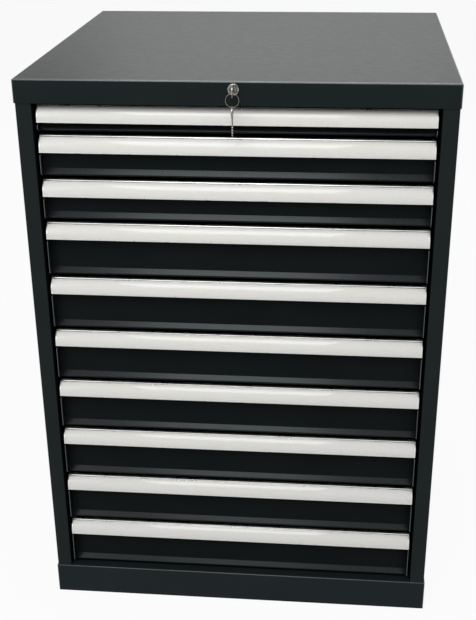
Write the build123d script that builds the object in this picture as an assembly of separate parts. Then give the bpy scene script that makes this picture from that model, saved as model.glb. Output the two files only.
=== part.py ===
from build123d import *
import math
import os

# Drawer tool cabinet, in millimetres. X runs to the right, Y to the back and Z up.
# The origin is on the floor, under the middle of the whole object with its key.

# Overall size
cover_width = 717.0
cover_depth = 725.0
cover_flange = 38.5
base_height = 60.0
low_front = 50.0
middle_front = 75.0
tall_front = 100.0
front_heights = [low_front] + [middle_front] * 2 + [tall_front] * 7
head_room = 4.5
key_reach = 25.5
overrun = 1.0

# Sheet metal
carcass_sheet = 1.5
drawer_sheet = 1.2
carcass_bend = 1.0
sheet_gap = 0.3

# Carcass
cover_overhang = 1.8
cover_corner = 2.0
post_setback = 2.0
post_width = 27.45
post_return = 30.0
rear_flange = 25.0
plinth_setback = 0.8
plinth_sheet = 2.0
plinth_top_flange = 40.0
plinth_foot_flange = 30.0
pan_upstand = 20.0

# Top rails
rail_drop = 0.3
rail_setback = 4.0
rail_depth = 24.0
rail_upstand = 14.0
rear_rail_height = 30.0

# Slotted uprights
upright_width = 36.0
front_upright_start = 46.0
rear_upright_inset = 8.0
slot_pitch = 100.0
slot_height = 12.0
slot_width = 5.0

# Drawer fronts, measured back from their foremost line and up from the foot of each front
front_setback = 2.7
front_gap = 5.2
panel_depth = 17.0
lip_top = 17.6
lip_depth = 10.6
lip_edge = 9.6
tray_foot = 6.4
cheek_depth = 1.0
cheek_shoulder = 8.4
cheek_top_drop = 8.0
cheek_step_drop = 29.8
cheek_slope = 3.5
cheek_corner = 2.4
cheek_foot_rise = 5.0
cheek_foot_depth = 8.6

# Grip strip, measured from the same line and from the top of each front
grip_top_drop = 0.5
grip_radius = 20.3
grip_centre_drop = 20.5
grip_drop = 28.0
grip_wall = 2.6
grip_flange = 1.8
grip_pocket_drop = 5.2
grip_leg = 1.3
grip_leg_drop = 7.6
grip_seat = 0.1
grip_bead_angle = 5.0
grip_bead_drop = 1.6
grip_nose = 1.5
grip_nose_depth = 0.4
grip_nose_drop = 0.5
grip_foot_edge = 0.6
label_recess = 1.1
label_thickness = 0.8
label_bead = 1.8
label_end = 1.6
label_play = 0.1
label_play_angle = 0.4

# Drawer boxes
tray_side_room = 17.25
tray_rear_room = 72.8
wall_drop = 12.0

# Telescopic runners
runner_centre = 21.0
runner_rear_gap = 3.4
runner_sheet = 1.2
fixed_height = 26.0
fixed_flange = 9.5
middle_height = 19.6
middle_flange = 9.2
drawer_member_height = 14.0
drawer_member_flange = 8.0
runner_thickness = 13.0
runner_play = 0.6
cage_share = 0.5
outer_cage_width = 6.0
inner_cage_width = 4.0
outer_cage = 1.5
inner_cage = 1.1
buffer_length = 8.0
runner_end_play = 1.0

# Lock
lock_drop = 12.0
lock_turn_radius = 12.0
rim_radius = 9.5
rim_depth = 4.2
barrel_radius = 6.5
barrel_length = 26.0
plug_radius = 4.5
plug_head_radius = 5.6
plug_head = 1.6
plug_play = 0.05
plug_tail = 1.5
head_play = 0.2
rim_edge = 1.4
nut_width = 17.0
nut_height = 4.5
cam_sheet = 2.5
cam_width = 9.0
crank_radius = 2.5
crank_reach = 1.0
screw_head_radius = 3.5
screw_head = 2.2
screw_edge = 0.8
screw_slot_width = 1.2
screw_slot_depth = 0.9

# Lock bar and its catches
bar_thickness = 3.0
bar_width = 12.0
bar_play = 0.3
bar_setback = 1.5
bar_side_room = 8.75
link_foot = 4.0
link_height = 12.0
pad_margin = 3.0
pad_rise = 4.0
tab_height = 2.6
tab_clearance = 0.5
catch_height = 35.0
catch_size = 3.0
catch_reach = 11.5
catch_length = 9.0
guide_block = 14.0
guide_wall = 2.2
guide_clearance = 1.0
link_guide_foot = 6.0
guide_shares = [0.12, 0.5, 0.88]

# Keys
key_length = 48.0
key_thickness = 1.9
bow_radius = 10.5
bow_hole_radius = 4.0
bow_hole_inset = 5.5
blade_width = 6.8
blade_cut = 1.3
blade_tip = 1.5
cut_start = 28.0
cut_pitch = 4.5
cut_half_width = 1.4
cut_count = 4
keyway_play = 0.2
keyway_end = 1.5
ring_radius = 10.7
ring_wire_radius = 0.9
ring_wire_sides = 8
ring_play = 0.3

# Planes and lines that the parts share
front_reach = key_reach - bow_hole_inset + bow_radius
stack_height = sum(front_heights)
cover_underside = base_height + stack_height + head_room
total_height = cover_underside + cover_flange
cover_top_inside = total_height - carcass_sheet
cover_front = -(cover_depth - front_reach) / 2
cover_back = cover_front + cover_depth
post_front = cover_front + post_setback
body_back = cover_back - post_setback
body_half = cover_width / 2 - cover_overhang
opening_half = body_half - post_width
front_half = opening_half - front_gap
face_front = post_front + front_setback
panel_front = face_front + panel_depth
tray_half = opening_half - tray_side_room
tray_front = panel_front + drawer_sheet
tray_back = body_back - tray_rear_room
runner_back = tray_half + runner_thickness
wall_inside = body_half - carcass_sheet
bar_front = post_front + post_return + bar_setback
bar_back = bar_front + bar_thickness
bar_edge = opening_half + bar_side_room
catch_front = bar_back + bar_play
member_front = catch_front + catch_length + runner_end_play
member_back = tray_back - runner_rear_gap
cage_length = cage_share * (member_back - member_front)
buffer_front = member_back + runner_end_play
buffer_back = buffer_front + buffer_length
lock_height = total_height - lock_drop
link_bottom = cover_underside + link_foot
cam_front = cover_front + barrel_length + plug_tail
ring_hang = bow_hole_radius - ring_wire_radius - ring_play


def front_feet():
    """Height of the foot of each drawer front, from the top drawer down."""
    feet = []
    height = base_height + stack_height
    for front_height in front_heights:
        height -= front_height
        feet.append(height)
    return feet


def block(x0, x1, y0, y1, z0, z1):
    """Solid box between two corners."""
    centre = Pos((x0 + x1) / 2, (y0 + y1) / 2, (z0 + z1) / 2)
    return centre * Box(x1 - x0, y1 - y0, z1 - z0)


def rod(radius, x, z, y0, y1):
    """Round bar along Y."""
    return Pos(x, (y0 + y1) / 2, z) * Rot(90, 0, 0) * Cylinder(radius, y1 - y0)


def along_x(face, x0, x1):
    """Section drawn in Y and Z, carried from x0 to x1."""
    plane = Plane(origin=(x0, 0, 0), x_dir=(0, 1, 0), z_dir=(1, 0, 0))
    return extrude(plane * face, amount=x1 - x0)


def along_y(face, y0, y1):
    """Section drawn in X and Z, carried from y0 to y1."""
    plane = Plane(origin=(0, y1, 0), x_dir=(1, 0, 0), z_dir=(0, -1, 0))
    return extrude(plane * face, amount=y1 - y0)


def along_z(face, z0, z1):
    """Section drawn in X and Y, carried from z0 to z1."""
    return extrude(Pos(0, 0, z0) * face, amount=z1 - z0)


def outline(corners, radii=None):
    """Closed face through corners, each rounded by its radius."""
    rounding = radii if radii else [0] * len(corners)
    return make_face(FilletPolyline(*corners, radius=rounding, close=True))


def left_offset(points, distance):
    """The same open line moved to its left, with its corners kept."""
    normals = []
    for (ax, ay), (bx, by) in zip(points, points[1:]):
        length = math.hypot(bx - ax, by - ay)
        normals.append(((ay - by) / length, (bx - ax) / length))
    moved = []
    for index, (px, py) in enumerate(points):
        before = normals[max(index - 1, 0)]
        after = normals[min(index, len(normals) - 1)]
        scale = distance / (1 + before[0] * after[0] + before[1] * after[1])
        moved.append((px + (before[0] + after[0]) * scale, py + (before[1] + after[1]) * scale))
    return moved


def folded_sheet(points, thickness, bend):
    """Section of folded sheet whose metal lies to the left of the line of points."""
    near = []
    far = []
    for a, b, c in zip(points, points[1:], points[2:]):
        turn = (b[0] - a[0]) * (c[1] - b[1]) - (b[1] - a[1]) * (c[0] - b[0])
        near.append(bend + thickness if turn > 0 else bend)
        far.append(bend if turn > 0 else bend + thickness)
    corners = points + left_offset(points, thickness)[::-1]
    return outline(corners, [0] + near + [0, 0] + far[::-1] + [0])


def square_fold(points, thickness):
    """Section of thin folded sheet with sharp corners, its metal to the left of points."""
    return outline(points + left_offset(points, thickness)[::-1])


def both_sides(shape):
    """A piece of the right side and its mirror image on the left."""
    return [shape, mirror(shape, about=Plane.YZ)]


def save(node, pieces):
    """Write one node, with each piece as its own solid."""
    solids = []
    for piece in pieces:
        solids.extend(piece.solids())
    shape = solids[0] if len(solids) == 1 else Compound(children=solids)
    export_step(shape, f"parts/{node}.step")


def make_cover():
    """Top cover: a pan turned upside down, with its outer edges rounded."""
    half = cover_width / 2
    pan = block(-half, half, cover_front, cover_back, cover_underside, total_height)
    rounded = pan.edges().filter_by(Axis.Z) + pan.faces().sort_by(Axis.Z)[-1].edges()
    pan = fillet(rounded, cover_corner)
    inside = half - carcass_sheet
    front = cover_front + carcass_sheet
    back = cover_back - carcass_sheet
    pan -= block(-inside, inside, front, back, cover_underside - overrun, cover_top_inside)
    return pan - rod(barrel_radius + plug_play, 0, lock_height, cover_front - overrun, front + overrun)


def make_side_panel():
    """Right side panel, folded round the front post and the rear flange."""
    back = body_back
    line = [
        (opening_half, post_front + post_return),
        (opening_half, post_front),
        (body_half, post_front),
        (body_half, back),
        (body_half - rear_flange, back),
    ]
    return along_z(folded_sheet(line, carcass_sheet, carcass_bend), base_height, cover_top_inside)


def make_back_panel():
    """Flat back panel, against the rear flanges of the side panels."""
    half = wall_inside - carcass_bend - sheet_gap
    face = body_back - carcass_sheet
    return block(-half, half, face - carcass_sheet, face, base_height, cover_top_inside)


def make_floor_pan():
    """Floor pan with an upstand in front of the back panel."""
    back = body_back - 2 * carcass_sheet
    half = opening_half - sheet_gap
    front = post_front + carcass_sheet
    line = [(front, base_height), (back, base_height), (back, base_height + pan_upstand)]
    return along_x(folded_sheet(line, carcass_sheet, carcass_bend), -half, half)


def make_plinth():
    """Plinth: a ring of sheet with flanges turned in at its top and its foot."""
    half = cover_width / 2
    front = cover_front + plinth_setback
    back = cover_back - plinth_setback
    ring = block(-half, half, front, back, 0, base_height)
    ring = fillet(ring.edges().filter_by(Axis.Z), cover_corner)
    room = half - plinth_sheet
    inside_front = front + plinth_sheet
    inside_back = back - plinth_sheet
    ring -= block(-room, room, inside_front, inside_back, plinth_sheet, base_height - plinth_sheet)
    for inset, z0, z1 in (
        (plinth_top_flange, plinth_sheet, base_height + overrun),
        (plinth_foot_flange, -overrun, base_height - plinth_sheet),
    ):
        ring -= block(-half + inset, half - inset, front + inset, back - inset, z0, z1)
    return ring


def make_top_rails():
    """Front and rear rails that tie the side panels together under the cover."""
    plate_top = cover_underside - rail_drop
    front = post_front + rail_setback
    front_line = [
        (front, plate_top + rail_upstand),
        (front, plate_top - carcass_sheet),
        (front + rail_depth, plate_top - carcass_sheet),
    ]
    back = body_back - 2 * carcass_sheet
    rear_line = [
        (back - rail_depth, cover_top_inside - rear_rail_height),
        (back, cover_top_inside - rear_rail_height),
        (back, cover_top_inside),
    ]
    front_rail = along_x(folded_sheet(front_line, carcass_sheet, carcass_bend), -opening_half, opening_half)
    rear_half = wall_inside - sheet_gap
    rear_rail = along_x(folded_sheet(rear_line, carcass_sheet, carcass_bend), -rear_half, rear_half)
    return [front_rail, rear_rail]


def make_upright(near):
    """Slotted upright on the right, from the floor pan to the top of the drawer stack."""
    far = near + upright_width
    line = [(wall_inside, far), (runner_back, far), (runner_back, near), (wall_inside, near)]
    foot = base_height + carcass_sheet
    head = base_height + stack_height
    upright = along_z(folded_sheet(line, carcass_sheet, carcass_bend), foot, head)
    middle = (near + far) / 2
    slot = block(
        runner_back - overrun,
        runner_back + carcass_sheet + overrun,
        middle - slot_width / 2,
        middle + slot_width / 2,
        -slot_height / 2,
        slot_height / 2,
    )
    count = int(stack_height // slot_pitch)
    slots = [Pos(0, 0, base_height + slot_pitch * (index + 0.5)) * slot for index in range(count)]
    return upright - slots


def make_fixed_member(foot):
    """Cabinet member of the right runner, a channel open towards the drawer."""
    low = foot + runner_centre - fixed_height / 2
    high = low + fixed_height
    tip = runner_back - fixed_flange
    line = [(tip, low), (runner_back, low), (runner_back, high), (tip, high)]
    front = post_front + front_upright_start
    return along_y(square_fold(line, runner_sheet), front, buffer_back)


def make_buffer(foot):
    """Rubber buffer in the back end of the cabinet member."""
    low = foot + runner_centre - drawer_member_height / 2
    outer = runner_back - runner_sheet
    inner = outer - drawer_member_flange
    return block(inner, outer, buffer_front, buffer_back, low, low + drawer_member_height)


def make_middle_member(foot):
    """Middle member of the right runner with its four ball cages."""
    half = middle_height / 2
    centre = foot + runner_centre
    outer = runner_back - runner_sheet - runner_play
    tip = outer - middle_flange
    low = centre - half
    high = centre + half
    line = [(tip, low), (outer, low), (outer, high), (tip, high)]
    front = member_front + runner_end_play
    back = member_back
    channel = along_y(square_fold(line, runner_sheet), front, back)
    side = tip + runner_sheet
    cages = []
    for width, start, inner, outer in (
        (outer_cage_width, back - cage_length, half, half + outer_cage),
        (inner_cage_width, front, half - runner_sheet - inner_cage, half - runner_sheet),
    ):
        for low in (centre + inner, centre - outer):
            cages.append(block(side, side + width, start, start + cage_length, low, low + outer - inner))
    return [channel] + cages


def make_drawer_member(foot):
    """Drawer member of the right runner, a channel on the wall of the drawer box."""
    low = foot + runner_centre - drawer_member_height / 2
    high = low + drawer_member_height
    tip = tray_half + drawer_member_flange
    line = [(tip, high), (tray_half, high), (tray_half, low), (tip, low)]
    return along_y(square_fold(line, runner_sheet), member_front, member_back)


def make_cheek(foot, head):
    """Right cheek, the end plate that closes the finger recess of a drawer front."""
    back = tray_front
    low = foot + tray_foot
    top = head - cheek_top_drop
    step = head - cheek_step_drop
    near = face_front + cheek_depth
    shoulder = face_front + cheek_shoulder
    corners = [
        (back, low),
        (back, top),
        (shoulder, top),
        (shoulder, step),
        (near, step - cheek_slope),
        (near, low + cheek_foot_rise),
        (face_front + cheek_foot_depth, low),
    ]
    radii = [0, 0, 0, 0, cheek_corner, cheek_corner, 0]
    return along_x(outline(corners, radii), front_half - drawer_sheet, front_half)


def make_front(foot, head):
    """Folded drawer front: flat panel, sloping lip and the turn under the box."""
    line = [
        (panel_front, head - grip_top_drop - grip_flange),
        (panel_front, foot + lip_top),
        (face_front + lip_depth, foot + lip_edge),
        (face_front + lip_depth, foot + tray_foot),
        (tray_front, foot + tray_foot),
    ]
    half = front_half - drawer_sheet
    return along_x(square_fold(line, drawer_sheet), -half, half)


def make_catch(foot):
    """Catch on the right wall of a drawer box, behind its tab of the lock bar."""
    low = foot + catch_height
    side = tray_half + catch_reach
    return block(tray_half, side, catch_front, catch_front + catch_length, low, low + catch_size)


def make_box(foot, head):
    """Drawer box, open at its top."""
    low = foot + tray_foot
    rim = head - wall_drop
    inside = tray_half - drawer_sheet
    inside_front = tray_front + drawer_sheet
    inside_back = tray_back - drawer_sheet
    box = block(-tray_half, tray_half, tray_front, tray_back, low, rim)
    return box - block(-inside, inside, inside_front, inside_back, low + drawer_sheet, rim + overrun)


def make_tray(foot, head):
    """Drawer box with its folded front, its catch and its two runner members."""
    front = make_front(foot, head) + both_sides(make_cheek(foot, head))
    return [make_box(foot, head), front, make_catch(foot)] + both_sides(make_drawer_member(foot))


def grip_point(radius, angle):
    """Point on an arc of the grip strip's section, its angle taken up from level."""
    return (grip_radius - radius * math.cos(angle), -grip_centre_drop + radius * math.sin(angle))


def grip_arc(radius, start, end):
    """Arc of the grip strip's section between two angles."""
    return ThreePointArc(
        grip_point(radius, start),
        grip_point(radius, (start + end) / 2),
        grip_point(radius, end),
    )


def grip_angles():
    """Angles at which the section's face, bead and inner side end."""
    face_top = math.asin((grip_centre_drop - grip_top_drop - grip_bead_drop) / grip_radius)
    bead_foot = face_top - math.radians(grip_bead_angle)
    pocket = math.asin((grip_centre_drop - grip_pocket_drop) / (grip_radius - grip_wall))
    return face_top, bead_foot, pocket


def joined_face(pieces):
    """Closed face from arcs and the corner points between them."""
    edges = []
    previous = None
    first = None
    for piece in pieces:
        is_arc = isinstance(piece, Edge)
        start = piece @ 0 if is_arc else Vector(*piece)
        if previous is not None and (start - previous).length > 1e-6:
            edges.append(Line(previous, start))
        if is_arc:
            edges.append(piece)
        first = first if first is not None else start
        previous = piece @ 1 if is_arc else start
    edges.append(Line(previous, first))
    return make_face(edges)


def grip_section():
    """Section of the grip strip: a hooked extrusion with a channel for its label."""
    face_top, bead_foot, pocket = grip_angles()
    channel = grip_radius - label_recess
    underside = -grip_top_drop - grip_flange
    panel_near = panel_depth - grip_seat
    panel_far = panel_depth + drawer_sheet + grip_seat
    foot = -grip_drop
    nose = grip_point(grip_radius, face_top)
    nose_top = (nose[0] + grip_nose, -grip_top_drop)
    nose_middle = (nose[0] + grip_nose_depth, -grip_top_drop - grip_nose_drop)
    return joined_face([
        (panel_far + grip_leg, -grip_top_drop),
        ThreePointArc(nose_top, nose_middle, nose),
        grip_arc(grip_radius, face_top, bead_foot),
        grip_arc(channel, bead_foot, 0),
        (label_recess, foot + label_bead),
        (0, foot + label_bead),
        (0, foot + grip_foot_edge),
        (grip_foot_edge, foot),
        (grip_wall, foot),
        grip_arc(grip_radius - grip_wall, 0, pocket),
        (panel_near - grip_leg, underside),
        (panel_near - grip_leg, -grip_leg_drop),
        (panel_near, -grip_leg_drop),
        (panel_near, underside),
        (panel_far, underside),
        (panel_far, -grip_leg_drop),
        (panel_far + grip_leg, -grip_leg_drop),
    ])


def label_section():
    """Section of the label strip and its clear cover, in the channel of the grip strip."""
    top = grip_angles()[1] - math.radians(label_play_angle)
    seat = grip_radius - label_recess
    face = seat + label_thickness
    foot = -grip_drop + label_bead + label_play
    return joined_face([
        grip_arc(face, top, 0),
        (label_recess - label_thickness, foot),
        (label_recess, foot),
        grip_arc(seat, 0, top),
    ])


def make_grip(head):
    """Grip strip along the top of a drawer front."""
    section = Pos(face_front, head) * grip_section()
    return along_x(section, -front_half, front_half)


def make_label(head):
    """Label strip of one drawer."""
    section = Pos(face_front, head) * label_section()
    half = front_half - label_end
    return along_x(section, -half, half)


def make_lock_housing():
    """Lock housing with a rounded rim, a barrel and a stepped bore."""
    near = cover_front - rim_depth
    far = cover_front + barrel_length
    rim = rod(rim_radius, 0, lock_height, near, cover_front)
    rim = chamfer(rim.edges().sort_by(Axis.Y)[0], rim_edge)
    housing = rim + rod(barrel_radius, 0, lock_height, cover_front, far)
    housing -= rod(plug_radius + plug_play, 0, lock_height, near - overrun, far + overrun)
    head_floor = near + plug_head + 2 * head_play
    return housing - rod(plug_head_radius + plug_play, 0, lock_height, near - overrun, head_floor)


def make_lock_nut():
    """Hexagon nut that clamps the housing behind the cover's flange."""
    start = cover_front + carcass_sheet
    hexagon = RegularPolygon(nut_width / 2, 6, major_radius=False)
    nut = along_y(Pos(0, lock_height) * hexagon, start, start + nut_height)
    return nut - rod(barrel_radius + plug_play, 0, lock_height, start - overrun, start + nut_height + overrun)


def make_plug():
    """Plug with its shouldered head and the slot for the key."""
    start = cover_front - rim_depth + head_play
    plug = rod(plug_head_radius, 0, lock_height, start, start + plug_head)
    plug += rod(plug_radius, 0, lock_height, start, cam_front)
    half_slot = key_thickness / 2 + keyway_play
    reach = blade_width / 2 + keyway_play
    slot_end = cover_front - key_reach + key_length + keyway_end
    low = lock_height - reach
    high = lock_height + reach
    return plug - block(-half_slot, half_slot, start - overrun, slot_end, low, high)


def make_cam():
    """Cam arm on the back of the plug, with a crank pin that drives the lock bar."""
    end = cam_front + cam_sheet
    half = cam_width / 2
    pin_height = lock_height - lock_turn_radius
    cam = rod(half, 0, lock_height, cam_front, end)
    cam += rod(half, 0, pin_height, cam_front, end)
    cam += block(-half, half, cam_front, end, pin_height, lock_height)
    return cam + rod(crank_radius, 0, pin_height, cam_front, bar_back + crank_reach)


def make_cam_screw():
    """Pan-head screw that holds the cam on the plug."""
    start = cam_front + cam_sheet
    end = start + screw_head
    head = rod(screw_head_radius, 0, lock_height, start, end)
    head = chamfer(head.edges().sort_by(Axis.Y)[-1], screw_edge)
    half_slot = screw_slot_width / 2
    low = lock_height - screw_head_radius - overrun
    high = lock_height + screw_head_radius + overrun
    return head - block(-half_slot, half_slot, end - screw_slot_depth, end + overrun, low, high)


def crank_lag():
    """Most that the crank pin runs ahead of the bar, as a share of the crank's radius."""
    best = math.acos(2 / math.pi)
    return math.sin(best) - best / (math.pi / 2)


def make_lock_bar():
    """Flat lock bar: a link to the crank pin, an upright leg and one tab for each drawer."""
    link_top = link_bottom + link_height
    leg_foot = base_height + tray_foot
    outer = bar_edge + bar_width
    reach = crank_radius + bar_play
    pad = reach + pad_margin
    lag = lock_turn_radius * crank_lag()
    bar = block(0, outer, bar_front, bar_back, link_bottom, link_top)
    bar += block(bar_edge, outer, bar_front, bar_back, leg_foot, link_top)
    bar += block(-lag - pad, pad, bar_front, bar_back, link_bottom, lock_height + crank_radius + pad_rise)
    for foot in front_feet():
        low = foot + catch_height + (catch_size - tab_height) / 2
        tip = opening_half + carcass_sheet + tab_clearance
        bar += block(tip, bar_edge, bar_front, bar_back, low, low + tab_height)
    low = lock_height - lock_turn_radius - reach
    return bar - block(-lag - reach, reach, bar_front - overrun, bar_back + overrun, low, lock_height + reach)


def make_bar_guides():
    """Plastic guide blocks that carry the lock bar's leg and its link."""
    near = bar_front - bar_play
    far = bar_back + bar_play
    inner = opening_half + carcass_sheet + guide_clearance
    edge = bar_edge + bar_width + bar_play
    guides = []
    for share in guide_shares:
        low = base_height + share * stack_height
        high = low + guide_block
        guide = block(inner, wall_inside, near - guide_wall, far + guide_wall, low, high)
        guides.append(guide - block(inner - overrun, edge, near, far, low - overrun, high + overrun))
    left = opening_half / 2
    right = left + guide_block
    seat = cover_underside - rail_drop
    high = link_bottom + link_height / 2
    foot = post_front + rail_setback + rail_depth - link_guide_foot
    guide = block(left, right, foot, far + guide_wall, seat, high)
    floor = link_bottom - bar_play
    guides.append(guide - block(left - overrun, right + overrun, near, far, floor, high + overrun))
    return guides


def key_section():
    """Outline of a key: round bow with a hole, and a blade with its cuts."""
    half = blade_width / 2
    near_tip = key_length - blade_tip
    corners = [
        (bow_radius, half),
        (near_tip, half),
        (key_length, half - blade_tip),
        (key_length, -half + blade_tip),
        (near_tip, -half),
    ]
    for index in reversed(range(cut_count)):
        position = cut_start + cut_pitch * index
        corners.append((position + cut_half_width, -half))
        corners.append((position, -half + blade_cut))
        corners.append((position - cut_half_width, -half))
    corners.append((bow_radius, -half))
    bow = Pos(bow_radius, 0) * Circle(bow_radius)
    return outline(corners) + bow - Pos(bow_hole_inset, 0) * Circle(bow_hole_radius)


def key_solid(tip_direction, y, z):
    """Key whose bow starts at a height and depth and whose blade runs in one direction."""
    plane = Plane(origin=(-key_thickness / 2, y, z), x_dir=tip_direction, z_dir=(1, 0, 0))
    return extrude(plane * key_section(), amount=key_thickness)


def make_key():
    """Key in the lock, with its blade upright and its bow in front of the rim."""
    return key_solid((0, 1, 0), cover_front - key_reach, lock_height)


def ring_place():
    """Y and Z of the key ring's centre, with its wire low in the hole of the bow."""
    y = cover_front - key_reach + bow_hole_inset
    return y, lock_height - ring_hang - ring_radius


def make_ring():
    """Key ring, standing across the key."""
    y, z = ring_place()
    half_side = 180 / ring_wire_sides
    wire = Pos(ring_radius, 0) * RegularPolygon(ring_wire_radius, ring_wire_sides, rotation=half_side)
    ring = revolve(Plane.XZ * wire, axis=Axis.Z)
    return Pos(0, y, z) * Rot(90, 0, 0) * ring


def make_spare_key():
    """Spare key that hangs from the foot of the ring."""
    y, z = ring_place()
    return key_solid((0, 0, -1), y, z - ring_radius - ring_hang + bow_hole_inset)


def save_carcass():
    """Write the fixed pieces of the cabinet."""
    right = make_side_panel()
    save("top_cover", [make_cover()])
    save("right_side_panel", [right])
    save("left_side_panel", [mirror(right, about=Plane.YZ)])
    save("back_panel", [make_back_panel()])
    save("floor_pan", [make_floor_pan()])
    save("plinth", [make_plinth()])
    save("top_rails", make_top_rails())
    front_upright = make_upright(post_front + front_upright_start)
    rear_upright = make_upright(buffer_back - rear_upright_inset - upright_width)
    save("slotted_uprights", both_sides(front_upright) + both_sides(rear_upright))
    fixed = []
    buffers = []
    for foot in front_feet():
        fixed += both_sides(make_fixed_member(foot))
        buffers += both_sides(make_buffer(foot))
    save("cabinet_runners", fixed)
    save("closing_buffers", buffers)


def save_lock():
    """Write the lock, its bar and the keys."""
    save("lock_housing", [make_lock_housing()])
    save("lock_nut", [make_lock_nut()])
    save("lock_plug", [make_plug()])
    save("lock_cam", [make_cam()])
    save("cam_screw", [make_cam_screw()])
    save("lock_bar", [make_lock_bar()])
    save("lock_bar_guides", make_bar_guides())
    save("key", [make_key()])
    save("key_ring", [make_ring()])
    save("spare_key", [make_spare_key()])


def save_drawers():
    """Write each drawer with its grip strip, label and middle runner members."""
    for index, foot in enumerate(front_feet()):
        number = f"{index + 1:02d}"
        head = foot + front_heights[index]
        middle = make_middle_member(foot)
        left = [mirror(piece, about=Plane.YZ) for piece in middle]
        save(f"drawer_{number}_tray", make_tray(foot, head))
        save(f"drawer_{number}_grip", [make_grip(head)])
        save(f"drawer_{number}_label", [make_label(head)])
        save(f"drawer_{number}_middle_runners", middle + left)


os.makedirs("parts", exist_ok=True)
save_carcass()
save_lock()
save_drawers()
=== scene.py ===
import math

import bpy
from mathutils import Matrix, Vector


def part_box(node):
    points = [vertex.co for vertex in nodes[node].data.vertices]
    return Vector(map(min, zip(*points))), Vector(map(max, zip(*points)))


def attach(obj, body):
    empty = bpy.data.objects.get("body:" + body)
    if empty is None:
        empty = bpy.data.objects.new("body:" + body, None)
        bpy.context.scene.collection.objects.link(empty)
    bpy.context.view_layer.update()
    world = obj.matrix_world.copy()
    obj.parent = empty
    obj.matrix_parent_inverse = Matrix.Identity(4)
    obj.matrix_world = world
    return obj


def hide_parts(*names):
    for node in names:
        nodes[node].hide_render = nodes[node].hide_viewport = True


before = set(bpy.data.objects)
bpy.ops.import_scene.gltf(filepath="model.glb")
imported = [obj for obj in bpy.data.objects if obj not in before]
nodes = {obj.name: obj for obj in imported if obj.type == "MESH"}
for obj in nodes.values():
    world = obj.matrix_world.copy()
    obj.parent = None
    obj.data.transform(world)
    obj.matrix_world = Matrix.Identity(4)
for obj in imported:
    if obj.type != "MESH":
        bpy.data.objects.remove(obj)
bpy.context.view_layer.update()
mm = 0.001
drawerNumbers = [f"{index:02d}" for index in range(1, 11)]

print("stage: helpers")


def clearSelection():
    if bpy.context.object and bpy.context.object.mode != "OBJECT":
        bpy.ops.object.mode_set(mode="OBJECT")
    bpy.ops.object.select_all(action="DESELECT")


def takeUp(piece):  # makes one piece the only selected and active one
    clearSelection()
    piece.select_set(True)
    bpy.context.view_layer.objects.active = piece


def settle(piece, name, smoothAngle):  # place into the mesh, name and soft shading
    takeUp(piece)
    piece.name = name
    piece.data.name = name
    bpy.ops.object.transform_apply(location=True, rotation=True, scale=True)
    bpy.ops.object.shade_smooth_by_angle(angle=math.radians(smoothAngle))
    return piece


def editAll(piece):
    takeUp(piece)
    bpy.ops.object.mode_set(mode="EDIT")
    bpy.ops.mesh.select_all(action="SELECT")


def endEdit():
    bpy.ops.object.mode_set(mode="OBJECT")


def finishShape():  # out of edit mode, the place put into the mesh
    endEdit()
    bpy.ops.object.transform_apply(location=True, rotation=True, scale=True)


def bevelEdges(piece, width, segments, angle):
    takeUp(piece)
    bevel = piece.modifiers.new("edges", "BEVEL")
    bevel.width = width
    bevel.segments = segments
    bevel.limit_method = "ANGLE"
    bevel.angle_limit = math.radians(angle)
    bpy.ops.object.modifier_apply(modifier=bevel.name)
    return piece


def cutOut(piece, tool):  # takes the tool's shape out of the piece
    takeUp(piece)
    cut = piece.modifiers.new("cut", "BOOLEAN")
    cut.operation = "DIFFERENCE"
    cut.solver = "EXACT"
    cut.object = tool
    bpy.ops.object.modifier_apply(modifier=cut.name)
    bpy.data.objects.remove(tool)
    return piece


def joinAll(pieces):
    clearSelection()
    for piece in pieces:
        piece.select_set(True)
    bpy.context.view_layer.objects.active = pieces[0]
    bpy.ops.object.join()
    return bpy.context.object


def copyOf(piece, offset, name):
    takeUp(piece)
    bpy.ops.object.duplicate()
    copy = bpy.context.object
    copy.location = Vector(offset)
    bpy.ops.object.transform_apply(location=True, rotation=True, scale=True)
    copy.name = name
    copy.data.name = name
    return copy


def drawLine(corners, axis, start):  # line drawn point by point across an axis, left in edit mode
    def place(a, b):
        return {"X": (start, a, b), "Y": (a, start, b), "Z": (a, b, start)}[axis]
    clearSelection()
    bpy.ops.mesh.primitive_plane_add(size=mm, location=place(*corners[0]))
    piece = bpy.context.object
    bpy.ops.object.mode_set(mode="EDIT")
    bpy.ops.mesh.select_all(action="SELECT")
    bpy.ops.mesh.merge(type="CENTER")
    for before, after in zip(corners, corners[1:]):
        step = Vector(place(*after)) - Vector(place(*before))
        bpy.ops.mesh.extrude_vertices_move(TRANSFORM_OT_translate={"value": step})
    bpy.ops.mesh.select_all(action="SELECT")
    bpy.ops.mesh.remove_doubles(threshold=0.000002)
    bpy.ops.mesh.select_all(action="SELECT")
    return piece


def turned(profile, height, steps):  # profile of depths and radii, spun about a level axis
    piece = drawLine([(depth * mm, (height + radius) * mm) for depth, radius in profile], "X", 0)
    bpy.ops.mesh.spin(steps=steps, angle=math.tau, center=(0, 0, height * mm), axis=(0, 1, 0))
    bpy.ops.mesh.select_all(action="SELECT")
    bpy.ops.mesh.remove_doubles(threshold=0.000005)
    bpy.ops.mesh.select_all(action="SELECT")
    bpy.ops.mesh.normals_make_consistent(inside=False)
    finishShape()
    return piece


def drawSection(corners, axis, start, end):  # closed outline, filled and extruded
    piece = drawLine(corners + corners[:1], axis, start)
    bpy.ops.mesh.edge_face_add()
    travel = {"X": (end - start, 0, 0), "Y": (0, end - start, 0), "Z": (0, 0, end - start)}[axis]
    bpy.ops.mesh.extrude_region_move(TRANSFORM_OT_translate={"value": travel})
    bpy.ops.mesh.select_all(action="SELECT")
    bpy.ops.mesh.normals_make_consistent(inside=False)
    finishShape()
    return piece


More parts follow.
